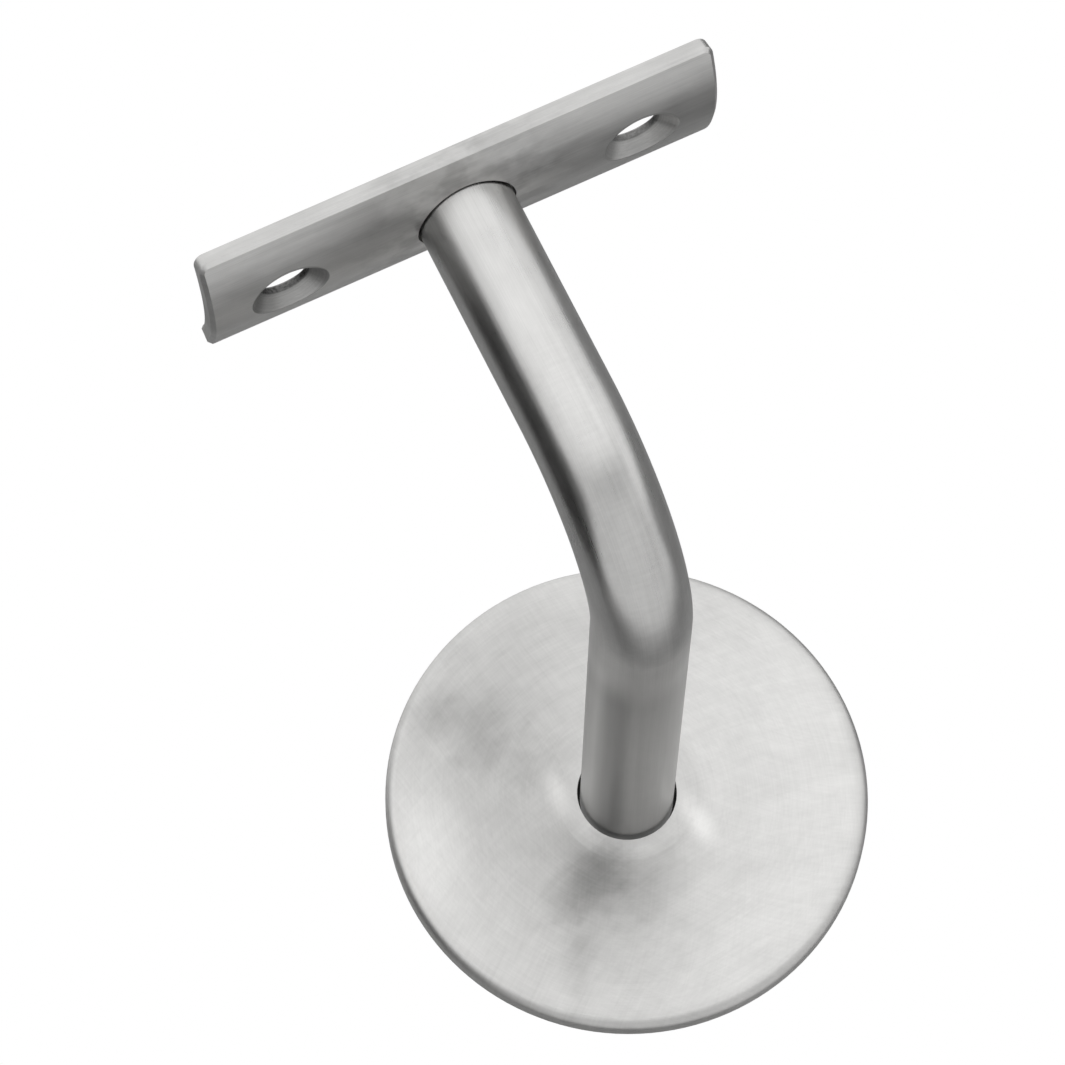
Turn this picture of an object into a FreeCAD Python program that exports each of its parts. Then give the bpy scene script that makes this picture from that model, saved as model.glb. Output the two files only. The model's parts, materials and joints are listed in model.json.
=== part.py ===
import FreeCAD, Part
import math
import os
import Sketcher
from FreeCAD import Vector

# Wall bracket for a round handrail, in stainless steel.
#
# A round bar comes straight out of the wall, bends up through a right angle and carries a saddle, a
# strip rolled to the handrail's radius. A pressed cover hides the fixing at the wall.
#
# Frame: millimetres, +Z up. The wall is the plane Y = 0 and the origin is where the bar's axis meets
# it. The bracket reaches out along -Y, and the handrail runs along X.

doc = FreeCAD.newDocument("HandrailBracket")

# ---------------------------------------------------------------- driving sizes
SIZES = [
    # the bar
    ("rod_diameter", 12.0, "round bar"),
    ("bend_radius", 21.0, "of the bar's axis"),
    ("reach_length", 90.0, "wall to the axis of the bar's upright leg"),
    ("rise_height", 47.0, "axis at the wall up to the underside of the saddle"),
    ("rod_chamfer", 0.6, "at the bar's wall end"),
    ("tap_drill", 6.8, "bore for an M8 thread in the wall end"),
    ("tap_depth", 22.0, "of that bore, without its drill point"),
    ("tap_mouth", 8.4, "diameter of the bore's chamfered mouth"),
    # the saddle
    ("handrail_diameter", 48.3, "tube that lies in the saddle"),
    ("strip_thickness", 2.5, "of the saddle"),
    ("strip_width", 22.0, "of the saddle, measured along its middle surface"),
    ("saddle_length", 65.0, "along the handrail"),
    ("saddle_corner", 1.3, "radius of the four corners"),
    ("back_chamfer", 0.5, "round the saddle's convex side"),
    ("seat_chamfer", 0.3, "round the saddle's hollow side"),
    ("screw_spacing", 45.0, "between the two screw holes"),
    ("screw_hole", 6.0, "clearance hole"),
    ("screw_sink", 9.8, "diameter of the 90 degree countersink"),
    # the joint between bar and saddle
    ("rod_gap", 0.3, "between the bar and its hole in the saddle"),
    ("weld_depth", 1.3, "of the weld groove, at the lowest line of the seat"),
    ("weld_width", 0.9, "of the weld groove beside its root, at the same line"),
    # the cover
    ("cover_diameter", 62.0, "outside"),
    ("cover_sheet", 1.0, "sheet thickness"),
    ("cover_face", 3.2, "height of the flat face from the wall"),
    ("cover_edge", 1.3, "outer radius of the bend between rim and face"),
    ("cover_crown", 3.65, "height of the lip round the hole from the wall"),
    ("lip_width", 2.6, "across the raised lip"),
    ("cover_gap", 0.4, "between the bar and the hole in the cover"),
]
sheet = doc.addObject("Spreadsheet::Sheet", "Sizes")
for row, (alias, value, note) in enumerate(SIZES, start=1):
    sheet.set("A%d" % row, alias)
    sheet.set("B%d" % row, str(value))
    sheet.set("C%d" % row, note)
    sheet.setAlias("B%d" % row, alias)
doc.recompute()

SAME_PLACE = 1e-3      # mm, two positions closer than this are one
EXACT = 1e-3           # share that a sweep's volume may differ from section times length
ROUGH = 0.3            # the same for a cut, whose formula leaves small curvatures out


def size(alias):
    """The value of a cell, used to draw a sketch near its final shape and in the volume checks."""
    return float(sheet.get(alias))


# ---------------------------------------------------------------- helpers
def new_body(name, label, y="0", z="0"):
    """A body whose origin sits at (0, y, z) of the bracket."""
    body = doc.addObject("PartDesign::Body", name)
    body.Label = label
    body.setExpression(".Placement.Base.y", y)
    body.setExpression(".Placement.Base.z", z)
    return body


def new_sketch(body, name, role):
    """An empty sketch on one of the body's own origin planes."""
    sketch = body.newObject("Sketcher::SketchObject", name)
    plane = [item for item in body.Origin.OriginFeatures if item.Role == role][0]
    sketch.AttachmentSupport = [(plane, "")]
    sketch.MapMode = "FlatFace"
    return sketch


def bind(sketch, name, expression):
    """Name the sketch's newest constraint and drive it from the sheet."""
    sketch.renameConstraint(sketch.ConstraintCount - 1, name)
    sketch.setExpression("Constraints." + name, expression)


def add_line(sketch, start, end):
    return sketch.addGeometry(Part.LineSegment(Vector(*start, 0), Vector(*end, 0)))


def add_arc(sketch, centre, radius, first, last):
    """An arc, counter-clockwise between two angles in radians."""
    circle = Part.Circle(Vector(*centre, 0), Vector(0, 0, 1), radius)
    return sketch.addGeometry(Part.ArcOfCircle(circle, first, last))


def add_circle(sketch, name, x=("0", 0.0), y=("0", 0.0), across=("1", 1.0)):
    """A circle driven by three expressions; each comes with its starting value."""
    circle = Part.Circle(Vector(x[1], y[1], 0), Vector(0, 0, 1), across[1] / 2)
    index = sketch.addGeometry(circle)
    if x[0] == "0" and y[0] == "0":
        sketch.addConstraint(Sketcher.Constraint("Coincident", index, 3, -1, 1))
    else:
        place(sketch, name, index, 3, x, y)
    sketch.addConstraint(Sketcher.Constraint("Diameter", index, across[1]))
    bind(sketch, name + "_across", across[0])
    return index


def place(sketch, name, index, point, x, y):
    """Pin a point of the sketch to the axes or to expressions."""
    if x[0] == "0":
        sketch.addConstraint(Sketcher.Constraint("PointOnObject", index, point, -2))
    else:
        sketch.addConstraint(Sketcher.Constraint("DistanceX", -1, 1, index, point, x[1]))
        bind(sketch, name + "_x", x[0])
    if y[0] == "0":
        sketch.addConstraint(Sketcher.Constraint("PointOnObject", index, point, -1))
    else:
        sketch.addConstraint(Sketcher.Constraint("DistanceY", -1, 1, index, point, y[1]))
        bind(sketch, name + "_y", y[0])


def join(sketch, pairs, kind="Coincident"):
    for first, first_point, second, second_point in pairs:
        sketch.addConstraint(
            Sketcher.Constraint(kind, first, first_point, second, second_point))


def polygon(sketch, corners):
    """A closed outline through corners, each ((expression, value), (expression, value))."""
    lines = []
    for here, after in zip(corners, corners[1:] + corners[:1]):
        lines.append(add_line(sketch, (here[0][1], here[1][1]), (after[0][1], after[1][1])))
    join(sketch, [(line, 2, lines[(i + 1) % len(lines)], 1) for i, line in enumerate(lines)])
    for i, (line, corner) in enumerate(zip(lines, corners)):
        place(sketch, "corner%d" % i, line, 1, corner[0], corner[1])


def cut_circle(body, name, role, x, y, across):
    """A straight hole right through the body, both ways from its sketch plane."""
    sketch = new_sketch(body, name + "Sketch", role)
    add_circle(sketch, "hole", x, y, across)
    doc.recompute()
    pocket = body.newObject("PartDesign::Pocket", name)
    pocket.Profile = sketch
    pocket.Type = "ThroughAll"
    pocket.Midplane = True
    doc.recompute()
    return pocket


def turn(body, name, kind, sketch, axis):
    """A full revolution about one of the sketch's own axes."""
    feature = body.newObject("PartDesign::" + kind, name)
    feature.Profile = sketch
    feature.ReferenceAxis = (sketch, [axis])
    feature.Angle = 360
    doc.recompute()
    return feature


def chamfer(body, name, base, edges, expression):
    """An equal chamfer on some edges of a feature."""
    feature = body.newObject("PartDesign::Chamfer", name)
    feature.Base = (base, edges)
    feature.setExpression("Size", expression)
    doc.recompute()
    return feature


def edges_where(feature, test):
    """Names of a feature's edges that pass a test on the edge and its middle point."""
    names = []
    for number, edge in enumerate(feature.Shape.Edges, start=1):
        middle = edge.valueAt((edge.FirstParameter + edge.LastParameter) / 2)
        if test(edge, middle):
            names.append("Edge%d" % number)
    if not names:
        raise RuntimeError("no edge of %s passes the test" % feature.Name)
    return names


def compare(what, volume, expected, tolerance):
    """Stop when a volume isn't near its formula, as when a cut goes the wrong way."""
    print("%-34s %9.1f mm3, formula %9.1f" % (what, volume, expected))
    if abs(volume / expected - 1) > tolerance:
        raise RuntimeError("%s isn't near its formula" % what)


def removed(before, after):
    return before.Shape.Volume - after.Shape.Volume


def disc(diameter):
    return math.pi * diameter ** 2 / 4


def frustum(wide, narrow, height):
    """Volume of a round taper between two diameters."""
    return math.pi * height / 12 * (wide ** 2 + wide * narrow + narrow ** 2)


def seat_lift(diameter):
    """Mean height of the seat above its lowest line, over a disc round the leg's axis."""
    return diameter ** 2 / 16 / size("handrail_diameter")


# ---------------------------------------------------------------- the bar
def make_rod():
    """Round bar: out of the wall, one bend, up into the saddle.

    The upright end is drawn too long and then cut to the handrail's radius, so that it lies flush
    with the saddle's hollow side.
    """
    bar, bend, rail = size("rod_diameter"), size("bend_radius"), size("handrail_diameter")
    reach, seat = size("reach_length"), size("rise_height") + size("strip_thickness")
    spare = bar / 4
    top = seat + spare
    body = new_body("BentRod", "bent_rod")

    path = new_sketch(body, "RodPath", "YZ_Plane")
    run = add_line(path, (0, 0), (bend - reach, 0))
    arc = add_arc(path, (bend - reach, bend), bend, math.pi, 1.5 * math.pi)
    upright = add_line(path, (-reach, bend), (-reach, top))
    join(path, [(run, 1, -1, 1)])
    join(path, [(run, 2, arc, 2), (arc, 1, upright, 1)], "Tangent")
    path.addConstraint(Sketcher.Constraint("Horizontal", run))
    path.addConstraint(Sketcher.Constraint("Vertical", upright))
    path.addConstraint(Sketcher.Constraint("Radius", arc, bend))
    bind(path, "bend", "Sizes.bend_radius")
    path.addConstraint(Sketcher.Constraint("DistanceX", upright, 2, -1, 1, reach))
    bind(path, "reach", "Sizes.reach_length")
    path.addConstraint(Sketcher.Constraint("DistanceY", -1, 1, upright, 2, top))
    bind(path, "top", "Sizes.rise_height + Sizes.strip_thickness + Sizes.rod_diameter / 4")

    section = new_sketch(body, "RodSection", "XZ_Plane")
    add_circle(section, "bar", across=("Sizes.rod_diameter", bar))
    doc.recompute()
    sweep = body.newObject("PartDesign::AdditivePipe", "RodSweep")
    sweep.Profile = section
    sweep.Spine = (path, ["Edge1", "Edge2", "Edge3"])
    doc.recompute()
    length = (reach - bend) + bend * math.pi / 2 + (top - bend)
    compare("bar, section times length", sweep.Shape.Volume, length * disc(bar), EXACT)

    trimmed = cut_circle(
        body, "SeatCut", "YZ_Plane",
        x=("-Sizes.reach_length", -reach),
        y=("Sizes.rise_height + Sizes.strip_thickness + Sizes.handrail_diameter / 2",
           seat + rail / 2),
        across=("Sizes.handrail_diameter", rail))
    compare("bar, cut to the seat", removed(sweep, trimmed),
            disc(bar) * (spare - seat_lift(bar)), ROUGH)

    rim = edges_where(trimmed, lambda edge, at: abs(at.y) < SAME_PLACE)
    eased = chamfer(body, "WallEndChamfer", trimmed, rim, "Sizes.rod_chamfer")

    mouth = new_sketch(body, "TapSketch", "XZ_Plane")
    add_circle(mouth, "bore", across=("Sizes.tap_drill", size("tap_drill")))
    doc.recompute()
    tap = body.newObject("PartDesign::Hole", "TappedHole")
    tap.Profile = mouth
    tap.Reversed = True
    tap.DepthType = "Dimension"
    tap.DrillPoint = "Angled"
    tap.HoleCutType = "Countersink"
    tap.HoleCutCustomValues = True
    tap.HoleCutCountersinkAngle = 90
    tap.setExpression("Diameter", "Sizes.tap_drill")
    tap.setExpression("Depth", "Sizes.tap_depth")
    tap.setExpression("HoleCutDiameter", "Sizes.tap_mouth")
    doc.recompute()
    compare("bar, tapped hole", removed(eased, tap),
            disc(size("tap_drill")) * size("tap_depth"), ROUGH)
    return body


# ---------------------------------------------------------------- the saddle
# Both the saddle and its weld stand on the upright leg's axis, with their origin on the saddle's
# underside. The handrail's axis is HANDRAIL above that.
FOOT = {"y": "-Sizes.reach_length", "z": "Sizes.rise_height"}
HANDRAIL = "Sizes.strip_thickness + Sizes.handrail_diameter / 2"


def rail_height():
    return size("strip_thickness") + size("handrail_diameter") / 2


def weld_corners(inner):
    """Outline of the weld groove from an inner radius outwards, drawn past the hollow side."""
    bar, gap = size("rod_diameter") / 2, size("rod_gap")
    strip, depth = size("strip_thickness"), size("weld_depth")
    width = size("weld_width")
    root = ("Sizes.strip_thickness - Sizes.weld_depth", strip - depth)
    over = ("Sizes.strip_thickness + Sizes.rod_diameter / 4", strip + bar / 2)
    hole = ("Sizes.rod_diameter / 2 + Sizes.rod_gap", bar + gap)
    wide = (hole[0] + " + Sizes.weld_width * (1 + Sizes.rod_diameter / 4 / Sizes.weld_depth)",
            bar + gap + width * (1 + bar / 2 / depth))
    return [(inner, root), (hole, root), (wide, over), (inner, over)]


def groove_volume():
    """Of the ring beside the bar's hole, as deep as the groove is on average round the bar."""
    middle = size("rod_diameter") + 2 * size("rod_gap") + size("weld_width")
    deep = size("weld_depth") + 2 * seat_lift(middle)
    return math.pi * middle * size("weld_width") / size("weld_depth") * deep ** 2 / 2


def make_saddle():
    """Strip rolled to the handrail's radius, with two countersunk screw holes and the bar's hole."""
    body = new_body("Saddle", "saddle", **FOOT)
    rail, strip = size("handrail_diameter") / 2, size("strip_thickness")
    half = size("strip_width") / (2 * rail + strip)
    centre = rail_height()

    section = new_sketch(body, "SaddleSection", "YZ_Plane")
    first, last = 1.5 * math.pi - half, 1.5 * math.pi + half
    inner = add_arc(section, (0, centre), rail, first, last)
    outer = add_arc(section, (0, centre), rail + strip, first, last)
    ends = []
    for angle in (first, last):
        near = (rail * math.cos(angle), centre + rail * math.sin(angle))
        far = ((rail + strip) * math.cos(angle), centre + (rail + strip) * math.sin(angle))
        ends.append(add_line(section, near, far))
    join(section, [(inner, 1, ends[0], 1), (outer, 1, ends[0], 2),
                   (inner, 2, ends[1], 1), (outer, 2, ends[1], 2), (inner, 3, outer, 3)])
    place(section, "rail", inner, 3, ("0", 0), (HANDRAIL, centre))
    section.addConstraint(Sketcher.Constraint("Radius", inner, rail))
    bind(section, "seat", "Sizes.handrail_diameter / 2")
    section.addConstraint(Sketcher.Constraint("Radius", outer, rail + strip))
    bind(section, "back", HANDRAIL)
    section.addConstraint(Sketcher.Constraint("Symmetric", inner, 1, inner, 2, -2))
    for end in ends:
        section.addConstraint(Sketcher.Constraint("PointOnObject", inner, 3, end))
    section.addConstraint(
        Sketcher.Constraint("DistanceX", inner, 1, inner, 2, 2 * rail * math.sin(half)))
    bind(section, "opening", "Sizes.handrail_diameter * sin(Sizes.strip_width"
         " / (Sizes.handrail_diameter + Sizes.strip_thickness) * 1 rad)")
    doc.recompute()
    pad = body.newObject("PartDesign::Pad", "SaddlePad")
    pad.Profile = section
    pad.Midplane = True
    pad.setExpression("Length", "Sizes.saddle_length")
    doc.recompute()
    compare("saddle, strip", pad.Shape.Volume,
            size("strip_width") * strip * size("saddle_length"), EXACT)

    end_x = size("saddle_length") / 2
    corners = edges_where(pad, lambda edge, at: abs(abs(at.x) - end_x) < SAME_PLACE
                          and edge.Curve.TypeId == "Part::GeomLine")
    rounded = body.newObject("PartDesign::Fillet", "SaddleCorners")
    rounded.Base = (pad, corners)
    rounded.setExpression("Radius", "Sizes.saddle_corner")
    doc.recompute()

    def outline_at(radius):
        """Test for the edges where a curved face meets the strip's narrow sides."""
        return lambda edge, at: abs(math.hypot(at.y, at.z - centre) - radius) < SAME_PLACE

    back = chamfer(body, "BackChamfer", rounded, edges_where(rounded, outline_at(rail + strip)),
                   "Sizes.back_chamfer")
    blank = chamfer(body, "SeatChamfer", back, edges_where(back, outline_at(rail)),
                    "Sizes.seat_chamfer")

    hole = size("rod_diameter") + 2 * size("rod_gap")
    bored = cut_circle(body, "RodHole", "XY_Plane", ("0", 0), ("0", 0),
                       ("Sizes.rod_diameter + 2 * Sizes.rod_gap", hole))
    compare("saddle, the bar's hole", removed(blank, bored), disc(hole) * strip, ROUGH)

    groove = new_sketch(body, "WeldGrooveSketch", "YZ_Plane")
    polygon(groove, weld_corners(("0", 0.0)))
    doc.recompute()
    grooved = turn(body, "WeldGroove", "Groove", groove, "V_Axis")
    compare("saddle, weld groove", removed(bored, grooved), groove_volume(), ROUGH)

    holes = new_sketch(body, "ScrewSketch", "XY_Plane")
    side = size("screw_spacing") / 2
    for name, sign in (("left", -1), ("right", 1)):
        add_circle(holes, name, ("%d * Sizes.screw_spacing / 2" % sign, sign * side), ("0", 0),
                   ("Sizes.screw_hole", size("screw_hole")))
    doc.recompute()
    screws = body.newObject("PartDesign::Hole", "ScrewHoles")
    screws.Profile = holes
    screws.Reversed = True
    screws.DepthType = "ThroughAll"
    screws.HoleCutType = "Countersink"
    screws.HoleCutCustomValues = True
    screws.HoleCutCountersinkAngle = 90
    screws.setExpression("Diameter", "Sizes.screw_hole")
    screws.setExpression("HoleCutDiameter", "Sizes.screw_sink")
    doc.recompute()
    narrow, wide = size("screw_hole"), size("screw_sink")
    sink = (wide - narrow) / 2
    compare("saddle, screw holes", removed(grooved, screws),
            2 * (frustum(wide, narrow, sink) + disc(narrow) * (strip - sink)), ROUGH)
    return body


def make_weld():
    """Weld metal between the bar and the groove, ground flush with the saddle's hollow side."""
    body = new_body("SaddleWeld", "saddle_weld", **FOOT)
    ring = new_sketch(body, "WeldSketch", "YZ_Plane")
    polygon(ring, weld_corners(("Sizes.rod_diameter / 2", size("rod_diameter") / 2)))
    doc.recompute()
    turn(body, "WeldRing", "Revolution", ring, "V_Axis")
    flush = cut_circle(body, "WeldFlush", "YZ_Plane", ("0", 0), (HANDRAIL, rail_height()),
                       ("Sizes.handrail_diameter", size("handrail_diameter")))
    bar, gap = size("rod_diameter"), size("rod_gap")
    deep = size("weld_depth") + 2 * seat_lift(bar)
    compare("weld, ground flush", flush.Shape.Volume,
            (disc(bar + 2 * gap) - disc(bar)) * deep + groove_volume(), ROUGH)
    return body


# ---------------------------------------------------------------- the cover
def make_cover():
    """Pressed cover: rim, edge bend, flat face and a lip raised gently round the bar's hole.

    The outline is drawn in the plane of Y (towards the room is negative) and the radius, and is
    turned about the bar's axis. The lip is an arc that leaves the face smoothly, so its radius
    follows from its width and height. The back of the sheet runs parallel to the front.
    """
    body = new_body("CoverRosette", "cover_rosette")
    across, skin, face = size("cover_diameter") / 2, size("cover_sheet"), size("cover_face")
    edge, crown, wide = size("cover_edge"), size("cover_crown"), size("lip_width")
    hole = size("rod_diameter") / 2 + size("cover_gap")
    lift = crown - face
    lip_turn = (wide ** 2 + lift ** 2) / (2 * lift)
    lip_centre = (-face - lip_turn, hole + wide)
    shoulder = across - edge

    outline = new_sketch(body, "CoverOutline", "YZ_Plane")
    rim = add_line(outline, (0, across), (edge - face, across))
    bend = add_arc(outline, (edge - face, shoulder), edge, math.pi / 2, math.pi)
    front = add_line(outline, (-face, shoulder), (-face, hole + wide))
    lip = add_arc(outline, lip_centre, lip_turn, -math.asin(wide / lip_turn), 0)
    lip_angle = math.asin(wide / (lip_turn + skin))
    mouth_back = lip_centre[0] + (lip_turn + skin) * math.cos(lip_angle)
    mouth = add_line(outline, (-crown, hole), (mouth_back, hole))
    lip_back = add_arc(outline, lip_centre, lip_turn + skin, -lip_angle, 0)
    back = add_line(outline, (skin - face, hole + wide), (skin - face, across - skin))
    rim_back = add_line(outline, (skin - face, across - skin), (0, across - skin))
    foot = add_line(outline, (0, across - skin), (0, across))

    join(outline, [(rim, 1, foot, 2), (mouth, 1, lip, 1), (mouth, 2, lip_back, 1),
                   (back, 2, rim_back, 1), (rim_back, 2, foot, 1), (lip, 3, lip_back, 3)])
    join(outline, [(rim, 2, bend, 1), (bend, 2, front, 1), (front, 2, lip, 2),
                   (lip_back, 2, back, 1)], "Tangent")
    for line in (rim, mouth, rim_back):
        outline.addConstraint(Sketcher.Constraint("Horizontal", line))
    for line in (front, back, foot):
        outline.addConstraint(Sketcher.Constraint("Vertical", line))
    outline.addConstraint(Sketcher.Constraint("PointOnObject", foot, 2, -2))
    # where each distance is measured: geometry and point, where point 1 starts it, 2 ends it and 3
    # is its centre, and geometry -1 with point 1 is the sketch's origin
    dims = [
        ("DistanceY", (-1, 1, foot, 2), across, "outside", "Sizes.cover_diameter / 2"),
        ("DistanceY", (foot, 1, foot, 2), skin, "sheet", "Sizes.cover_sheet"),
        ("DistanceX", (front, 1, back, 1), skin, "sheet_at_face", "Sizes.cover_sheet"),
        ("Radius", (bend,), edge, "edge", "Sizes.cover_edge"),
        ("DistanceX", (front, 1, -1, 1), face, "face", "Sizes.cover_face"),
        ("DistanceY", (-1, 1, mouth, 1), hole, "hole", "Sizes.rod_diameter / 2 + Sizes.cover_gap"),
        ("DistanceX", (mouth, 1, -1, 1), crown, "crown", "Sizes.cover_crown"),
        ("DistanceY", (mouth, 1, lip, 3), wide, "lip_width", "Sizes.lip_width"),
    ]
    for kind, where, value, name, expression in dims:
        outline.addConstraint(Sketcher.Constraint(kind, *where, value))
        bind(outline, name, expression)
    doc.recompute()
    cover = turn(body, "CoverTurn", "Revolution", outline, "H_Axis")
    plate = (disc(2 * across) - disc(2 * hole)) * skin
    rim_ring = (disc(2 * across) - disc(2 * (across - skin))) * (face - skin)
    compare("cover, plate and rim", cover.Shape.Volume, plate + rim_ring, ROUGH)
    return body


# ---------------------------------------------------------------- check and write
bodies = [make_rod(), make_cover(), make_saddle(), make_weld()]
doc.recompute()
for item in doc.Objects:
    if "Invalid" in item.State or "Error" in item.State:
        raise RuntimeError("%s failed: %s" % (item.Name, item.State))
os.makedirs("parts", exist_ok=True)
for body in bodies:
    shape = body.Shape
    if shape.isNull() or not shape.isValid() or len(shape.Solids) != 1:
        raise RuntimeError("%s has no single valid solid" % body.Label)
    shape.exportStep("parts/%s.step" % body.Label)
    box = shape.BoundBox
    print("%-14s %9.1f mm3   X %.2f..%.2f  Y %.2f..%.2f  Z %.2f..%.2f" % (
        body.Label, shape.Volume, box.XMin, box.XMax, box.YMin, box.YMax, box.ZMin, box.ZMax))
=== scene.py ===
# %% [markdown]
# # A wall bracket for a round handrail
#
# This lesson dresses a finished metal part. The shapes come from the CAD model, so nothing of the
# bracket is modelled here: every cell is about finish, light and camera. The bracket has four
# pieces: a bent round bar, a pressed cover at the wall, a curved saddle under the handrail, and the
# weld that joins bar and saddle. All four are stainless steel. What tells them apart is the way in
# which each was brushed, so that is what the lesson builds.
#
# The first cell loads the CAD pieces. They arrive in metres, in the place where they belong: the
# wall is the plane Y = 0, the bar's axis leaves it at the origin, and Z points up.

# %% Load the CAD pieces
import json
import math

import bpy
from mathutils import Matrix, Vector


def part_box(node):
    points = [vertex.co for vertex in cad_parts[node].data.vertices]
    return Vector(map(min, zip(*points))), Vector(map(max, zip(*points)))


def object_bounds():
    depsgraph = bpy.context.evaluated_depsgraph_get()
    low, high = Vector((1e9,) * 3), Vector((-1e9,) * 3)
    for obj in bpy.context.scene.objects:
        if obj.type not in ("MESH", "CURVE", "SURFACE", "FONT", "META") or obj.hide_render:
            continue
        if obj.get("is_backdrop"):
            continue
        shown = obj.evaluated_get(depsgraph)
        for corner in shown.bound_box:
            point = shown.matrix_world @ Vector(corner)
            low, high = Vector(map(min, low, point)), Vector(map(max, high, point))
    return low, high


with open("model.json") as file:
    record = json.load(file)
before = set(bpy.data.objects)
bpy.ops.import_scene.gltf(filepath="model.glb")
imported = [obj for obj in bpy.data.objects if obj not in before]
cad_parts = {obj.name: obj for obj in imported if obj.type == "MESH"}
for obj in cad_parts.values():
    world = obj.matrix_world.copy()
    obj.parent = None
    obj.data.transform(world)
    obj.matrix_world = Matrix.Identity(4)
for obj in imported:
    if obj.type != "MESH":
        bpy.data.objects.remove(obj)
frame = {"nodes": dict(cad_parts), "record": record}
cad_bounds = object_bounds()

MM = 0.001
for name in sorted(frame["nodes"]):
    low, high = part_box(name)
    print(name, "is", " x ".join("%.1f" % (side / MM) for side in high - low), "mm")

# %% [markdown]
# Brush marks follow the shape of a piece, because the belt or wheel that made them did. So the
# sizes of the pieces are needed first. They could be typed in, but then the finish would slip as
# soon as the model changes. The main ones are read from the boxes of the CAD pieces and from the
# part's own record instead.
#
# The bar's path has three stretches: straight out of the wall, a quarter bend, straight up. Its box
# gives its radius and its reach. A box can't show the radius of the bend, so that is measured on
# the mesh: the nearest point to the box's outer corner tells how much the bend cuts off.

# %% Measure the pieces
ON_MIDDLE = 0.1 * MM
bar_low, bar_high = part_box("bent_rod")
BAR_RADIUS = (bar_high.x - bar_low.x) / 2
REACH = -bar_low.y - BAR_RADIUS
outer_corner = Vector((0.0, bar_low.y, bar_low.z))


def bend_radius():
    """Radius of the bar's axis in the bend."""
    points = [point.co for point in frame["nodes"]["bent_rod"].data.vertices]
    cut_off = min((point - outer_corner).yz.length for point in points if abs(point.x) < ON_MIDDLE)
    return cut_off / (math.sqrt(2) - 1) - BAR_RADIUS


BEND = bend_radius()
COVER_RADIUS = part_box("cover_rosette")[1].x
mounts = {mount["name"]: mount for mount in frame["record"]["mounts"]}
SEAT_RADIUS = mounts["handrail_seat"]["dims"]["r_mm"] * MM
RAIL_AXIS = mounts["handrail_seat"]["pos_m"][2] + SEAT_RADIUS
print("bar radius %.2f, bend %.2f, reach %.2f, cover radius %.2f, seat radius %.2f mm" % tuple(
    length / MM for length in (BAR_RADIUS, BEND, REACH, COVER_RADIUS, SEAT_RADIUS)))

# %% [markdown]
# A shader is a graph of nodes. It could be drawn by hand in the Shader Editor, but a formula is
# easier to read and to change. The class below wraps one output of a node, so that `a * b + 1` adds
# the Math nodes for us, also with the number first, as in `1 - mask`. Every other kind of node
# comes from one method, `node`: it takes the node's type, its settings, and then a value or a link
# for each of its sockets.

# %% Write shader maths as expressions
class Wire:
    """An output socket that can be used in an expression."""

    def __init__(self, tree, socket=None):
        self.tree = tree
        self.socket = socket

    def node(self, kind, settings=None, sockets=None, output=0):
        """Add any node to the same graph and return one of its outputs."""
        made = self.tree.nodes.new(kind)
        for name, value in (settings or {}).items():
            setattr(made, name, value)
        for name, value in (sockets or {}).items():
            if isinstance(value, Wire):
                self.tree.links.new(value.socket, made.inputs[name])
            else:
                made.inputs[name].default_value = value
        return Wire(self.tree, made.outputs[output])

    def math(self, operation, *values):
        """A Math node on one, two or three values."""
        return self.node("ShaderNodeMath", {"operation": operation}, dict(enumerate(values)))

    def __add__(self, other):
        return self.math("ADD", self, other)

    def __radd__(self, other):
        return self.math("ADD", other, self)

    def __sub__(self, other):
        return self.math("SUBTRACT", self, other)

    def __rsub__(self, other):
        return self.math("SUBTRACT", other, self)

    def __mul__(self, other):
        return self.math("MULTIPLY", self, other)

    def __rmul__(self, other):
        return self.math("MULTIPLY", other, self)

    def __truediv__(self, other):
        return self.math("DIVIDE", self, other)

    def __rtruediv__(self, other):
        return self.math("DIVIDE", other, self)

    def __pow__(self, other):
        return self.math("POWER", self, other)

    def __rpow__(self, other):
        return self.math("POWER", other, self)

    def at_least(self, other):
        return self.math("MAXIMUM", self, other)

    def at_most(self, other):
        return self.math("MINIMUM", self, other)

    def size(self):
        """The value without its sign."""
        return self.math("ABSOLUTE", self)

    def fade(self, start, end):
        """A smooth step from 0 at start to 1 at end."""
        return self.node("ShaderNodeMapRange", {"interpolation_type": "SMOOTHSTEP"},
                         {"Value": self, "From Min": start, "From Max": end})


print("Wire knows", ", ".join(name for name in vars(Wire) if not name.startswith("_")))

# %% [markdown]
# Nearly every mask of this lesson is a distance: from an axis, from a line, from the middle of a
# mark. All of them start from the place of a point on the piece. The Object output of Texture
# Coordinate gives it in metres, and since all CAD pieces share one origin at the wall, one set of
# measures fits all four. UV maps would do for a label, but a bent bar has no natural unwrapping.

# %% Places and distances
def object_place(tree):
    """The three object coordinates of a point, each as a wire."""
    place = Wire(tree).node("ShaderNodeTexCoord", output="Object")
    split = place.node("ShaderNodeSeparateXYZ", None, {"Vector": place})
    return [Wire(tree, axis) for axis in split.socket.node.outputs]


def distance(across, up):
    """How far a point lies from an axis, from its two offsets."""
    return (across ** 2 + up ** 2) ** 0.5


print("distances are in metres, so 1 mm is written", MM)

# %% [markdown]
# A brushed face is made of fine parallel scratches. They could be an image, which would repeat, or
# real grooves, which would need millions of faces. The most direct way is a noise that is squeezed
# across the brushing and stretched along it. `scratches` takes a place with the direction of the
# brushing first, and divides it by the size of one mark. The same helper makes the soft clouds that
# a hand-held belt leaves: there the marks are simply larger.
#
# `varied` then mixes the marks. It starts from a middle value, and each noise swings it up and down
# by its own amount, so one line reads like a recipe: so much grey, so much of each mark.

# %% Scratches and clouds from one noise
HAIR = 0.16 * MM
NOISE_MIDDLE = 0.5
NOISE_ROUGHNESS = 0.6


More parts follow.
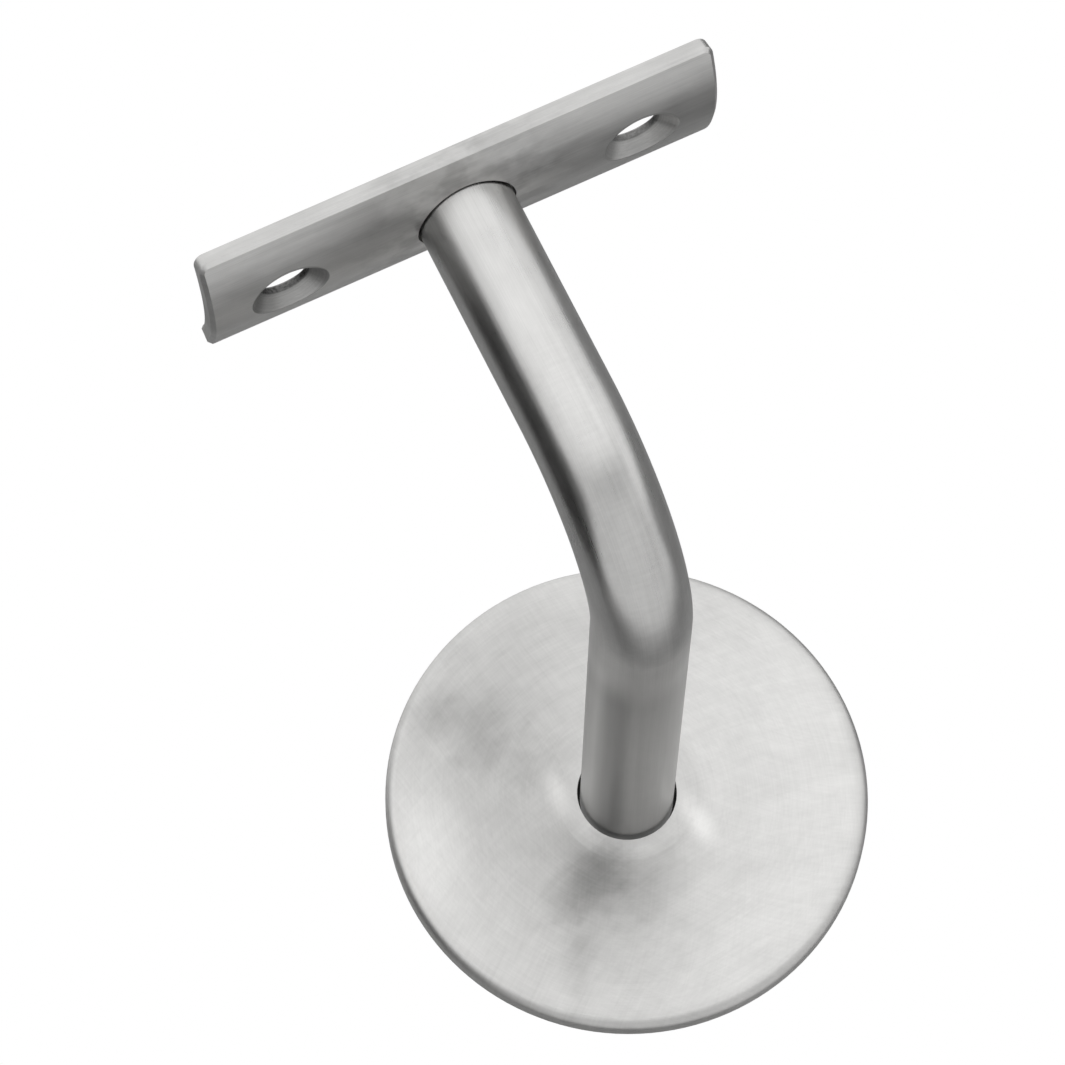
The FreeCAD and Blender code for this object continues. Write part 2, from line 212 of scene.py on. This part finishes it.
def noise(x, y, z, detail):
    """Noise from 0 to 1 with marks about as large as 1."""
    place = x.node("ShaderNodeCombineXYZ", None, {"X": x, "Y": y, "Z": z})
    return place.node("ShaderNodeTexNoise", {"noise_dimensions": "3D"},
                      {"Vector": place, "Scale": 1.0, "Detail": detail,
                       "Roughness": NOISE_ROUGHNESS})


def scratches(place, length, width, seed, detail=3.0):
    """Noise in marks of a length along the first coordinate and a width across it."""
    along, side, depth = place
    return noise(along / length + seed, side / width, depth / width, detail)


def varied(middle, *marks):
    """A middle value that every (noise, swing) pair pushes up and down."""
    for mark, swing in marks:
        middle = (mark - NOISE_MIDDLE) * swing + middle
    return middle


print("the finest scratches are %.2f mm wide" % (HAIR / MM))

# %% [markdown]
# Bare steel has no colour of its own but a grey of about 60 to 70 percent, very slightly warm. It is
# a metal, so the Principled shader gets Metallic 1, and most of its character is its roughness.
# One helper finishes every steel: brightness, roughness and the height of the scratches go in. The
# bump's depth is a real length, a few thousandths of a millimetre, because a brushed face is flat
# to the hand and only its shine shows the scratches.
#
# The Mix node has one set of sockets for each kind of data under the same names, so those for
# colours are picked by number.

# %% Finish a steel
WARM_WHITE = (1.0, 0.995, 0.98, 1.0)
BLACK = (0.0, 0.0, 0.0, 1.0)
COLOR_A, COLOR_B, COLOR_RESULT = 6, 7, 2


def new_steel(name):
    """A metallic material and the place of a point on it."""
    material = bpy.data.materials.new(name)
    material.use_nodes = True
    material.node_tree.nodes["Principled BSDF"].inputs["Metallic"].default_value = 1.0
    return material, object_place(material.node_tree)


def finish(material, brightness, roughness, height, depth):
    """Wire brightness, roughness and scratch height into the material's shader."""
    color = brightness.node("ShaderNodeMix", {"data_type": "RGBA"},
                            {"Factor": brightness, COLOR_A: BLACK, COLOR_B: WARM_WHITE},
                            output=COLOR_RESULT)
    bump = height.node("ShaderNodeBump", None,
                       {"Strength": 1.0, "Distance": depth, "Height": height})
    tree = material.node_tree
    shader = tree.nodes["Principled BSDF"]
    tree.links.new(color.socket, shader.inputs["Base Color"])
    tree.links.new(roughness.socket, shader.inputs["Roughness"])
    tree.links.new(bump.socket, shader.inputs["Normal"])
    return material


def dress(node_name, material):
    """Give a CAD piece its material; the mesh stays as it is."""
    piece = frame["nodes"][node_name]
    piece.data.materials.clear()
    piece.data.materials.append(material)
    print(node_name, "wears", material.name, "with", len(material.node_tree.nodes), "nodes")


print("blue is %.0f percent of red in warm white" % (100 * WARM_WHITE[2] / WARM_WHITE[0]))

# %% [markdown]
# Where the handrail will lie, the bar's end and the weld are ground flush with the hollow of the
# saddle. On a bracket like this, one grinding disc goes over all three at once. Three separate
# finishes would show a seam, so one patch of coarser marks is written once and laid over the bar
# and the saddle, and the weld between them takes the same marks all over. The mask is measured
# from two axes: it is 1 on the hollow face, close to the bar, and 0 everywhere else.

# %% The ground patch under the handrail
GROUND_INNER, GROUND_OUTER = BAR_RADIUS + 2 * MM, BAR_RADIUS + 7 * MM
HOLLOW_SKIN = 0.2 * MM
GROUND_MIDDLE, GROUND_SWING, GROUND_ROUGHER = 0.7, 0.3, 0.08


def on_hollow(place):
    """1 on the face that the handrail lies on, 0 below it."""
    _, y, z = place
    return 1 - distance(y + REACH, z - RAIL_AXIS).fade(SEAT_RADIUS, SEAT_RADIUS + HOLLOW_SKIN)


def grinding(place):
    """The noise of the grinding marks, which run across the handrail."""
    x, y, z = place
    return scratches((y, x, z), length=4 * MM, width=0.3 * MM, seed=61)


def ground(place, brightness, roughness, height):
    """Brightness, roughness and height with the ground patch laid over them."""
    x, y, _ = place
    patch = on_hollow(place) * (1 - distance(x, y + REACH).fade(GROUND_INNER, GROUND_OUTER))
    marks = grinding(place)
    brightness = brightness + (marks - GROUND_MIDDLE) * patch * GROUND_SWING
    return brightness, roughness + patch * GROUND_ROUGHER, height + marks * patch


print("the patch fades out between %.0f and %.0f mm from the bar's axis" % (
    GROUND_INNER / MM, GROUND_OUTER / MM))

# %% [markdown]
# Such a bar is polished on a belt before it is bent. Its scratches run along it and turn with it, so
# the noise needs the bar as if it were straight. Two numbers do that: the distance along the axis,
# and how far a point lies outside the axis in the plane of the bend. Three separate materials could
# be blended at the ends of the bend, but the joints would show. With `back` and `down` measured
# from the centre of the bend and cut off at zero, one formula holds for both legs and the bend.

# %% Straighten the bar
def straightened(place):
    """The place along and across the bar, as if it had never been bent. The bend starts at 0."""
    x, y, z = place
    centre_y, centre_z = BEND - REACH, BEND
    back = (centre_y - y).at_least(0.0)
    down = (centre_z - z).at_least(0.0)
    turned = back.math("ARCTAN2", back, down)
    along = turned * BEND + (z - centre_z).at_least(0.0) - (y - centre_y).at_least(0.0)
    return along, x, distance(back, down) - BEND


BEND_LENGTH = math.pi / 2 * BEND
print("along the axis the bend takes %.1f mm" % (BEND_LENGTH / MM))

# %% [markdown]
# The upright leg is bright. The leg at the wall is painted darker, and a darker line is painted along
# it. Both are painted shade: on a real bracket that leg shows a darker mirror image of the room. It
# is painted into the colour, because a dark card in front of the bracket would draw a dark spot in
# the bend as well. The leg at the wall is also a little rougher. In the bend the marks also run
# sideways, as from a pad that was pulled across the bar.
#
# Each of these is a mask between 0 and 1, and the next recipe multiplies the marks by their masks.
# That keeps one material for the whole bar, so the finishes melt into each other without a seam.
# The stretches are places along the bar's axis, where the bend starts at 0.

# %% The masks of the bar
# Where the wall leg and the line along it get their painted shade:
PAINTED_SHADE_ENDS = (-16 * MM, 2 * MM)
PAD_STARTS, PAD_ENDS = (-6 * MM, 4 * MM), (BEND_LENGTH, BEND_LENGTH + 12 * MM)
ENTRY_STARTS, ENTRY_ENDS = (-9 * MM, 0.0), (0.0, 12 * MM)
PAINTED_LINE_SIDE, PAINTED_LINE_OUTWARD = -0.81 * BAR_RADIUS, 0.59 * BAR_RADIUS
PAINTED_LINE_EDGE = (0.3 * MM, 3.0 * MM)


def bar_masks(along, side, outward):
    """Where the pad went, where the wall leg gets painted shade, where the bend begins, and the
    painted dark line.
    """
    pad = along.fade(*PAD_STARTS) * (1 - along.fade(*PAD_ENDS))
    painted_shade = 1 - along.fade(*PAINTED_SHADE_ENDS)
    entry = along.fade(*ENTRY_STARTS) * (1 - along.fade(*ENTRY_ENDS))
    from_line = distance(side - PAINTED_LINE_SIDE, outward - PAINTED_LINE_OUTWARD)
    return pad, painted_shade, entry, 1 - from_line.fade(*PAINTED_LINE_EDGE)


# This line along the wall leg is painted shade.
print("the dull line runs %.1f mm from the bar's axis" % (
    math.hypot(PAINTED_LINE_SIDE, PAINTED_LINE_OUTWARD) / MM))

# %% [markdown]
# The bar's recipe has fine scratches, broad ones, and clouds. All the swings are small: a brushed
# bar looks calm from a step away, and its bands of light and dark come from what it mirrors.

# %% The bar
BAR_GREY, BAR_ROUGHNESS = 0.64, 0.30
PAINTED_SHADE_LOSS, PAINTED_LINE_LOSS = 0.42, 0.26
PAD_SWING, PAD_HEIGHT = 0.10, 0.5
ENTRY_ROUGHER, DULL_ROUGHER = 0.12, 0.04


def belt_brushed_bar():
    material, place = new_steel("belt_brushed_bar")
    bar = straightened(place)
    along, side, outward = bar
    fine = scratches(bar, length=26 * MM, width=HAIR, seed=3)
    broad = scratches(bar, length=40 * MM, width=1.1 * MM, seed=11, detail=2)
    cloud = scratches(bar, length=7 * MM, width=3.5 * MM, seed=23, detail=4)
    cross = scratches((side, along, outward), length=5 * MM, width=0.5 * MM, seed=31)
    pad, painted_shade, entry, line = bar_masks(along, side, outward)

    brightness = varied(BAR_GREY, (fine, 0.14), (broad, 0.12), (cloud, 0.20))
    brightness = brightness + (cross - NOISE_MIDDLE) * pad * PAD_SWING
    # Painted shade: the wall leg and the line along it are darkened in the colour.
    brightness = brightness * (1 - painted_shade * (PAINTED_SHADE_LOSS + line * PAINTED_LINE_LOSS))
    roughness = varied(BAR_ROUGHNESS, (fine, 0.10), (cloud, 0.12))
    roughness = roughness + entry * ENTRY_ROUGHER + painted_shade * DULL_ROUGHER
    height = fine + cross * pad * PAD_HEIGHT
    brightness, roughness, height = ground(place, brightness, roughness, height)
    return finish(material, brightness, roughness, height, depth=0.008 * MM)


dress("bent_rod", belt_brushed_bar())

# %% [markdown]
# The cover is pressed from thin sheet. Its marks aren't straight, as if it was brushed last, by
# hand, with a soft pad. Some are rings round its own middle, as from turning it against the pad,
# and some are wide arcs, as the arm draws them from the side. A swirled noise could imitate them,
# but it soon looks like a fingerprint. `arcs` does what the arm does: the noise is squeezed by the
# distance from a centre, and that centre may lie far outside the cover.

# %% Arcs
LEFT_ARM, RIGHT_ARM, LOW_ARM = (-46, 12), (52, 30), (8, -60)


def arcs(place, centre, length, width, seed):
    """Curved scratches round a centre, which is given in millimetres across and up."""
    x, _, z = place
    reach = distance(x - centre[0] * MM, z - centre[1] * MM)
    return noise(reach / width + seed, x / length, z / length, detail=2.0)


for arm in (LEFT_ARM, RIGHT_ARM, LOW_ARM):
    print("an arm drew arcs %.0f mm from the cover's middle" % math.hypot(*arm))

# %% [markdown]
# The cover also carries soft ovals of painted reflection. The dark ones below the hole are a painted
# reflection of the bar, and the one at the upper left is a painted dark reflection too. The small
# bright ones beside the hole, where the sheet was drawn up to the lip, are painted highlights, and so
# is a large one near the rim. The helper below draws one such oval: a distance that is measured in
# half lengths along the mark and in half widths across it, so that it is 1 on the mark's outline. The
# outline wanders with a cloud noise, because a clean ellipse would be seen at once. The marks are
# given one by one, so they stay a short list.

# %% Painted reflections on the cover
OUTLINE_SWING, OUTLINE_END = 1.2, 1.25
# Painted reflections and painted highlights on the cover, one oval each:
PAINTED_REFLECTIONS = [
    # change of brightness; centre, half length and half width in mm; direction in degrees
    (-0.12, (-14, 16.5), 10, 5.5, -55),
    (-0.24, (-8.6, -7.8), 9, 4.2, 27),
    (-0.08, (-2, -12.5), 9, 4, 12),
    (-0.10, (-15, -17), 7, 2.5, 60),
    (0.14, (-26, 5), 12, 6, 75),
    (0.18, (-8.2, 3.5), 4, 1.8, 80),
    (0.18, (6.6, -7.0), 4.5, 2.0, 95),
]


def reflection_oval(place, cloud, centre, half_length, half_width, degrees):
    """A soft oval, 1 in its middle and 0 outside."""
    x, _, z = place
    across, up = x / MM - centre[0], z / MM - centre[1]
    cosine, sine = math.cos(math.radians(degrees)), math.sin(math.radians(degrees))
    lengthwise = (across * cosine + up * sine) / half_length
    widthwise = (up * cosine - across * sine) / half_width
    away = distance(lengthwise, widthwise) + (cloud - NOISE_MIDDLE) * OUTLINE_SWING
    return 1 - away.fade(0.0, OUTLINE_END)


# These soft marks are painted reflections and highlights.
print("the pad left", len(PAINTED_REFLECTIONS), "soft marks on the cover")

# %% [markdown]
# All marks of the cover come together in one recipe. The rim and the lip are rougher than the flat
# face, because the sheet was stretched over the tool there and the pad only slid across.

# %% The cover
COVER_GREY, COVER_ROUGHNESS = 0.665, 0.33
RIM_STARTS = (COVER_RADIUS - 2.2 * MM, COVER_RADIUS - 0.8 * MM)
LIP_ENDS = (BAR_RADIUS + 2.0 * MM, BAR_RADIUS + 4.5 * MM)
RIM_ROUGHER, LIP_ROUGHER = 0.18, 0.14
ARC_HEIGHT = 0.5


def cover_brightness(place, rings, cloud, arm_marks):
    """The cover's grey with its arcs, flecks and painted reflections."""
    x, y, z = place
    left_arcs, right_arcs = arm_marks
    low_arcs = arcs(place, LOW_ARM, length=10 * MM, width=0.6 * MM, seed=17)
    fleck = scratches((x, z, y), length=2.4 * MM, width=1.6 * MM, seed=47)
    brightness = varied(COVER_GREY, (rings, 0.08), (left_arcs, 0.06), (right_arcs, 0.07),
                        (low_arcs, 0.08), (cloud, 0.20), (fleck, 0.07))
    for change, centre, half_length, half_width, degrees in PAINTED_REFLECTIONS:
        brightness = brightness + reflection_oval(place, cloud, centre, half_length, half_width, degrees) * change
    return brightness


def arc_brushed_cover():
    material, place = new_steel("arc_brushed_cover")
    x, y, z = place
    rings = arcs(place, (0, 0), length=9 * MM, width=0.30 * MM, seed=2)
    left_arcs = arcs(place, LEFT_ARM, length=8 * MM, width=0.26 * MM, seed=7)
    right_arcs = arcs(place, RIGHT_ARM, length=8 * MM, width=0.34 * MM, seed=13)
    cloud = scratches((x, z, y), length=9 * MM, width=7 * MM, seed=41, detail=4)
    brightness = cover_brightness(place, rings, cloud, (left_arcs, right_arcs))

    radius = distance(x, z)
    rim = radius.fade(*RIM_STARTS)
    lip = 1 - radius.fade(*LIP_ENDS)
    roughness = varied(COVER_ROUGHNESS, (rings, 0.06), (cloud, 0.06))
    roughness = roughness + rim * RIM_ROUGHER + lip * LIP_ROUGHER
    height = rings + left_arcs * ARC_HEIGHT + right_arcs * ARC_HEIGHT
    return finish(material, brightness, roughness, height, depth=0.004 * MM)


dress("cover_rosette", arc_brushed_cover())

# %% [markdown]
# The saddle is a strip that was brushed along its length before it was rolled to the handrail's
# radius, so its scratches run along X. Rolling bends the strip only across the brushing, and the
# plain X coordinate still follows each scratch. Nothing has to be straightened here.
#
# Round the bar, the strip is a little blotchy, as from the heat of the weld on the other side. To the
# left of it, the lowest line of the strip is painted darker: painted shade on the saddle's underside.

# %% The strip of the saddle
STRIP_GREY, STRIP_ROUGHNESS = 0.61, 0.34
BLOTCH_LOSS, UNDERSIDE_SHADE_LOSS = 0.14, 0.14
BLOTCH_EDGE = (0.42, 0.64)
HEAT_INNER, HEAT_OUTER = 7 * MM, 19 * MM
UNDERSIDE_SHADE_STARTS, UNDERSIDE_SHADE_ENDS = (-7 * MM, -1 * MM), (1.5 * MM, 4.5 * MM)
UNDERSIDE_SHADE_RIGHT_END = (-9 * MM, 8 * MM)


def painted_underside_shade(place):
    """1 on the lowest line of the strip, left of the bar, and 0 elsewhere."""
    x, y, _ = place
    beside = y + REACH
    lowest = beside.fade(*UNDERSIDE_SHADE_STARTS) * (1 - beside.fade(*UNDERSIDE_SHADE_ENDS))
    return lowest * (1 - x.fade(*UNDERSIDE_SHADE_RIGHT_END))


def strip_brushing(place):
    """Brightness, roughness and height of the plain strip."""
    x, y, _ = place
    fine = scratches(place, length=18 * MM, width=HAIR, seed=4)
    broad = scratches(place, length=30 * MM, width=0.9 * MM, seed=8, detail=2)
    cloud = scratches(place, length=7 * MM, width=3 * MM, seed=19, detail=4)
    blotch = scratches(place, length=5 * MM, width=4 * MM, seed=57).fade(*BLOTCH_EDGE)
    heated = 1 - distance(x, y + REACH).fade(HEAT_INNER, HEAT_OUTER)
    brightness = varied(STRIP_GREY, (fine, 0.16), (broad, 0.14), (cloud, 0.24))
    brightness = brightness - blotch * heated * BLOTCH_LOSS
    # Painted shade on the strip's lowest line, left of the bar.
    brightness = brightness - painted_underside_shade(place) * varied(UNDERSIDE_SHADE_LOSS, (broad, 0.2))
    return brightness, varied(STRIP_ROUGHNESS, (fine, 0.12), (cloud, 0.12)), fine


print("the heat of the weld shows up to %.0f mm from the bar's axis" % (HEAT_OUTER / MM))

# %% [markdown]
# The two screw holes were drilled and countersunk afterwards, so their faces carry another mark: fine
# turned rings in the cone, and a gritty wall where the drill went through. Both faces are also
# painted darker than the strip, as painted shade in the recess of the hole, the wall most. Separate
# materials for those faces would be simple too, but the CAD mesh has to stay as it is, so the faces
# are found by their distance from the axis of the nearer hole. `x.size()` drops the sign of X, and
# one formula serves both holes. The cone is cut from below, so its mask leaves out the hollow face.

# %% The saddle
HOLE_X = mounts["rail_screws"]["dims"]["spacing_x_mm"] / 2 * MM
HOLE_RADIUS = mounts["rail_screws"]["dims"]["hole_r_mm"] * MM
CONE_RADIUS = HOLE_RADIUS + 1.9 * MM
WALL_EDGE = (HOLE_RADIUS + 0.02 * MM, HOLE_RADIUS + 0.25 * MM)
CONE_EDGE = (CONE_RADIUS - 0.15 * MM, CONE_RADIUS + 0.05 * MM)
CONE_PAINTED_SHADE, WALL_PAINTED_SHADE = 0.14, 0.22
CONE_ROUGHER, WALL_ROUGHER = 0.08, 0.12


def drilled(place):
    """How much darker, as painted shade, and how much rougher the drilled faces are than the strip.
    """
    x, y, z = place
    from_hole = distance(x.size() - HOLE_X, y + REACH)
    wall = 1 - from_hole.fade(*WALL_EDGE)
    cone = (1 - from_hole.fade(*CONE_EDGE)) * (1 - on_hollow(place))
    rings = scratches((z, from_hole, from_hole), length=2 * MM, width=0.12 * MM, seed=71)
    grit = scratches(place, length=0.35 * MM, width=0.35 * MM, seed=77)
    # Painted shade in the hole: the cone and the wall are darkened, on top of their rings and grit.
    darker = cone * varied(CONE_PAINTED_SHADE, (rings, 0.24)) + wall * varied(WALL_PAINTED_SHADE, (grit, 0.3))
    return darker, cone * CONE_ROUGHER + wall * WALL_ROUGHER


def strip_brushed_saddle():
    material, place = new_steel("strip_brushed_saddle")
    brightness, roughness, height = strip_brushing(place)
    darker, rougher = drilled(place)
    brightness, roughness, height = ground(place, brightness - darker, roughness + rougher, height)
    return finish(material, brightness, roughness, height, depth=0.008 * MM)


dress("saddle", strip_brushed_saddle())
print("holes %.0f mm apart, %.1f mm wide" % (2 * HOLE_X / MM, 2 * HOLE_RADIUS / MM))

# %% [markdown]
# The weld fills the ring between the bar and the saddle's hole and is ground flush with both. It
# shows only on the hollow side. Weld metal cools in small crystals, so besides the grinding it gets
# a coarse cloud of lighter and darker spots. It could share the saddle's material, but then the
# joint would vanish, and on a real bracket it can just be seen.

# %% The weld
WELD_GREY, WELD_ROUGHNESS = 0.54, 0.40


def ground_weld():
    material, place = new_steel("ground_weld")
    marks = grinding(place)
    crystals = scratches(place, length=0.8 * MM, width=0.6 * MM, seed=29, detail=4)
    brightness = varied(WELD_GREY, (marks, 0.3), (crystals, 0.3))
    roughness = varied(WELD_ROUGHNESS, (marks, 0.12))
    return finish(material, brightness, roughness, marks + crystals, depth=0.01 * MM)


dress("saddle_weld", ground_weld())

# %% [markdown] The studio comes next. A polished bar shows its surroundings more than itself, so
# every plate of the studio matters. All plates are matt and made by one helper, from their
# corners.

# %% Plates for the studio
def plate(name, corners, grey):
    """A flat piece of the studio in one matt grey."""
    mesh = bpy.data.meshes.new(name)
    mesh.from_pydata(corners, [], [tuple(range(len(corners)))])
    made = bpy.data.objects.new(name, mesh)
    bpy.context.scene.collection.objects.link(made)
    material = bpy.data.materials.new(name)
    material.use_nodes = True
    shader = material.node_tree.nodes["Principled BSDF"]
    shader.inputs["Base Color"].default_value = (grey, grey, grey, 1.0)
    shader.inputs["Roughness"].default_value = 1.0
    mesh.materials.append(material)
    made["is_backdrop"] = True
    return made


def rectangle(low, high):
    """The corners of a rectangle that is square to the axes, from two opposite corners."""
    (x0, y0, z0), (x1, y1, z1) = low, high
    if z0 == z1:
        return [(x0, y0, z0), (x1, y0, z0), (x1, y1, z0), (x0, y1, z0)]
    return [(x0, y0, z0), (x1, y1, z0), (x1, y1, z1), (x0, y0, z1)]


print("a plate has", len(rectangle((0, 0, 0), (1, 1, 0))), "corners")

# %% [markdown]
# A white background could be had with more light, but then the steel would burn out as well. It
# comes from a switch instead. Light Path tells what kind of ray meets a surface, and `seen_ray` is
# 1 for those that show it: rays from the camera, and rays mirrored in metal or bent in glass.
# `blend_surface` then mixes another shader into a plate by any factor.

# %% Tell the rays apart
SHOWING_RAYS = ("Is Camera Ray", "Is Glossy Ray", "Is Transmission Ray")


def seen_ray(tree):
    """1 for the rays that show a background, 0 for those that only carry light."""
    paths = Wire(tree).node("ShaderNodeLightPath").socket.node.outputs
    camera_ray, glossy_ray, clear_ray = [Wire(tree, paths[name]) for name in SHOWING_RAYS]
    return (camera_ray + glossy_ray + clear_ray).at_most(1.0)


def blend_surface(made, factor, other):
    """Mix another shader into a plate's surface by a factor."""
    tree = made.data.materials[0].node_tree
    surface = Wire(tree, tree.nodes["Principled BSDF"].outputs["BSDF"])
    mixed = factor.node("ShaderNodeMixShader", None, {0: factor, 1: surface, 2: other})
    tree.links.new(mixed.socket, tree.nodes["Material Output"].inputs["Surface"])


print("a background shows to", len(SHOWING_RAYS), "kinds of rays")

# %% [markdown]
# The floor is pale grey and lies well below the bracket. With distance from the middle it turns
# into plain white, but only for the rays that show it. So the background is white, and what shadow
# the bracket casts stays on the floor.

# %% The floor
FLOOR = -0.8
FLOOR_HALF = 6.0
FLOOR_GREY = 0.78
NEAR, FAR = 0.9, 2.0
floor = plate("floor", rectangle((-FLOOR_HALF, -FLOOR_HALF, FLOOR), (FLOOR_HALF, FLOOR_HALF, FLOOR)),
              FLOOR_GREY)
floor_tree = floor.data.materials[0].node_tree
floor_x, floor_y, _ = object_place(floor_tree)
whitened = distance(floor_x, floor_y).fade(NEAR, FAR) * seen_ray(floor_tree)
white = whitened.node("ShaderNodeEmission", None, {"Strength": 1.0})
blend_surface(floor, whitened, white)
print("the floor lies %.0f mm under the bracket's origin" % (-FLOOR / MM))

# %% [markdown]
# The world is an even white, like a light tent. What it shows to the camera and to the steel is
# exactly white, and what it gives as light is a little less, so that pale surfaces don't clip.

# %% The world
WORLD_LIGHT = 0.92
world = bpy.data.worlds.new("studio")
bpy.context.scene.world = world
world.use_nodes = True
strength = seen_ray(world.node_tree) * (1 - WORLD_LIGHT) + WORLD_LIGHT
background = world.node_tree.nodes["Background"]
background.inputs["Color"].default_value = (1.0, 1.0, 1.0, 1.0)
world.node_tree.links.new(strength.socket, background.inputs["Strength"])
print("the world gives", WORLD_LIGHT, "as light and shows 1.0")

# %% [markdown]
# In a plain white tent a steel bar would look flat and chalky: there is nothing dark for it to
# mirror. In a product studio, dark cards stand round the tent for that, and so they do here. Each
# card is seen by the steel alone. It is hidden from the camera, and from the floor's light as well,
# so it casts no grey on the floor.
#
# The left card draws the dark line down the bar's left side, and the back and right cards shape its
# edges. The cloth and the skirt at the back darken the saddle's underside. The front skirt is much
# lighter: it takes some white away from what the bend mirrors low in front of the bracket.

# %% Cards for the steel to mirror
FRONT, BACK = -1.05, 1.2
LEFT, RIGHT, FAR_LEFT = -1.0, 1.3, -2.4
LOW, HIGH = -0.75, 1.5
UNDER = FLOOR + 0.01
BEFORE_BACK = BACK - 0.01
CARDS = [
    # name, one corner, the opposite corner, grey
    ("back_card", (FAR_LEFT, BACK, LOW), (RIGHT, BACK, HIGH), 0.31),
    ("back_cloth", (FAR_LEFT, 0.52, UNDER), (RIGHT, BACK, UNDER), 0.18),
    ("back_skirt", (FAR_LEFT, BEFORE_BACK, UNDER), (RIGHT, BEFORE_BACK, -0.44), 0.10),
    ("left_card", (LEFT, -0.6, -0.5), (LEFT, 0.5, 1.1), 0.01),
    ("right_card", (RIGHT, -0.2, LOW), (RIGHT, BACK, HIGH), 0.26),
    ("front_skirt", (-1.6, FRONT, UNDER), (1.6, FRONT, -0.46), 0.60),
]


def card(name, low, high, grey):
    """A plate that only the steel sees."""
    made = plate(name, rectangle(low, high), grey)
    made.visible_camera = False
    made.visible_diffuse = False


for name, low, high, grey in CARDS:
    card(name, low, high, grey)
print(len(CARDS), "cards stand round the bracket")

# %% [markdown]
# Between the cover's hole and the bar there is a narrow gap. On a wall it is dark, because the wall
# behind it lies in the cover's shade, but here the bracket hangs in white air and the gap would
# shine. A whole wall would hide the bracket from behind, so a small dark disc on the plane of the
# wall closes the view: it is painted shade, seen by the camera alone. It is smaller than the cover,
# casts no shadow and isn't mirrored. Seen from behind it is clear, because Backfacing mixes it with a
# transparent shader.

# %% A patch of painted shade on the wall's plane
PATCH_RADIUS = 0.5 * COVER_RADIUS
PATCH_SIDES = 48
PATCH_SHADE_GREY = 0.05
BEFORE_WALL = -0.5 * MM
turns = [math.tau * step / PATCH_SIDES for step in range(PATCH_SIDES)]
ring = [(PATCH_RADIUS * math.cos(turn), BEFORE_WALL, PATCH_RADIUS * math.sin(turn)) for turn in turns]
# The patch is painted shade, standing for the shaded wall seen through the gap.
patch = plate("wall_patch", ring, PATCH_SHADE_GREY)
patch.visible_diffuse = False
patch.visible_glossy = False
patch.visible_transmission = False
patch.visible_shadow = False
behind = Wire(patch.data.materials[0].node_tree).node("ShaderNodeNewGeometry", output="Backfacing")
blend_surface(patch, behind, behind.node("ShaderNodeBsdfTransparent"))
print("the patch is %.0f mm wide, the cover %.0f mm" % (2 * PATCH_RADIUS / MM, 2 * COVER_RADIUS / MM))

# %% [markdown]
# One large, faint lamp gives the light a direction, as a window would. It is broad because its own
# mirror image lies over the white world in the steel: a small strong lamp would burn a streak into
# the bar.

# %% The window lamp
LAMP_PLACE = Vector((0.3, -2.0, 0.35))
LAMP_AIM = Vector((0.0, -REACH / 2, 0.02))
LAMP_WIDTH, LAMP_HEIGHT, LAMP_WATTS = 3.0, 2.6, 4.4
lamp_data = bpy.data.lights.new("window_lamp", "AREA")
lamp_data.shape = "RECTANGLE"
lamp_data.size = LAMP_WIDTH
lamp_data.size_y = LAMP_HEIGHT
lamp_data.energy = LAMP_WATTS
lamp = bpy.data.objects.new("window_lamp", lamp_data)
lamp.location = LAMP_PLACE
lamp.rotation_euler = (LAMP_AIM - LAMP_PLACE).to_track_quat("-Z", "Y").to_euler()
bpy.context.scene.collection.objects.link(lamp)
print("the lamp is %.1f m away" % (LAMP_AIM - LAMP_PLACE).length)

# %% [markdown]
# The camera stands low and to the left, looks up at the bracket and is rolled, so that the bracket
# lies at a slant. Euler angles could say this, but it is hard to tell what each of the three does.
# Three plain angles say it here: the heading turns the view round Z, the tilt lifts it, and the
# roll turns it round the line of sight. The lens is long and the camera stands back, so the
# bracket's lines stay nearly parallel.

# %% The camera
HEADING, TILT, ROLL = math.radians(9.74), math.radians(18.25), math.radians(-27.24)
DISTANCE = 0.656
LENS, SENSOR = 181.45, 36.0
CLIP_START = 0.01
AIM = Vector((-2.57 * MM, -REACH / 2, 23.4 * MM))
forward = Vector((math.sin(HEADING) * math.cos(TILT), math.cos(HEADING) * math.cos(TILT),
                  math.sin(TILT)))
level = forward.cross(Vector((0, 0, 1))).normalized()
upright = level.cross(forward)
right = math.cos(ROLL) * level + math.sin(ROLL) * upright
top = right.cross(forward)
camera_data = bpy.data.cameras.new("camera")
camera_data.lens = LENS
camera_data.sensor_width = SENSOR
camera_data.clip_start = CLIP_START
camera = bpy.data.objects.new("camera", camera_data)
camera.matrix_world = (Matrix.Translation(AIM - DISTANCE * forward)
                       @ Matrix((right, top, -forward)).transposed().to_4x4())
bpy.context.scene.collection.objects.link(camera)
bpy.context.scene.camera = camera
bpy.context.scene.view_settings.view_transform = "Standard"
print("the camera stands %.0f mm from the bracket's middle" % (DISTANCE / MM))

# %% [markdown] At the end the size of the dressed bracket is compared with the size that came from
# the CAD model. Nothing was added to it and nothing was moved, so both boxes must agree.

# %% Compare the sizes and finish
visual_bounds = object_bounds()
for corner, cad_corner in zip(visual_bounds, cad_bounds):
    print("corner moved by %.4f mm" % ((Vector(corner) - Vector(cad_corner)).length / MM))
